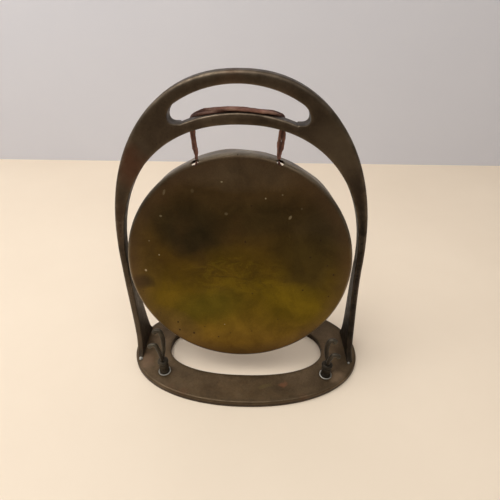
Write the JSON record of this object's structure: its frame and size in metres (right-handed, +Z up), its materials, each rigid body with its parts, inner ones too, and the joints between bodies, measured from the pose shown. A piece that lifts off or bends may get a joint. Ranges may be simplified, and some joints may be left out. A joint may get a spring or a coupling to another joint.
{
  "type": "tabletop gong",
  "caption": "Brass dish gong hung by a leather lace in a stirrup-shaped brass stand on an oval base, with forked rests for a beater.",
  "frame": {"origin": "centre of the base plate's underside, on the surface the gong stands on", "axes": "+Z up, the gong's striking face looks along -Y, +X to the right of someone facing it"},
  "size_m": [0.1842, 0.1068, 0.2196],
  "materials": {
    "frame_brass": "cast, dark brown patina, edges rubbed lighter",
    "gong_brass": "spun, aged olive to brown, fine pits and specks",
    "fork_brass": "cast, grey-brown patina",
    "bright_brass": "rubbed bright",
    "thong_leather": "worn reddish-brown lace"
  },
  "bodies": {
    "stand": {"base_plate": "frame_brass", "stirrup_arch": "frame_brass", "foot_braze_left": "bright_brass", "foot_braze_right": "bright_brass", "rest_bush_left": "bright_brass", "rest_bush_right": "bright_brass", "rest_post_left": "fork_brass", "rest_post_right": "fork_brass", "rest_collar_left": "fork_brass", "rest_collar_right": "fork_brass", "rest_prong_front_left": "fork_brass", "rest_prong_front_right": "fork_brass", "rest_prong_back_left": "fork_brass", "rest_prong_back_right": "fork_brass", "thong_bridge": "thong_leather"},
    "strands": {"thong_strand_left": "thong_leather", "thong_strand_right": "thong_leather"},
    "hung_gong": {"gong": "gong_brass", "thong_knot_left": "thong_leather", "thong_knot_right": "thong_leather"}
  },
  "joints": [
    {"name": "strand_swing", "type": "hinge", "parent": "stand", "child": "strands", "pos_m": [0, 0.0047, 0.1912], "axis": [1, 0, 0], "range_deg": [-10, 20]},
    {"name": "gong_swing", "type": "hinge", "parent": "strands", "child": "hung_gong", "pos_m": [0, 0.0021, 0.1678], "axis": [1, 0, 0], "range_deg": [-25, 25]}
  ]
}
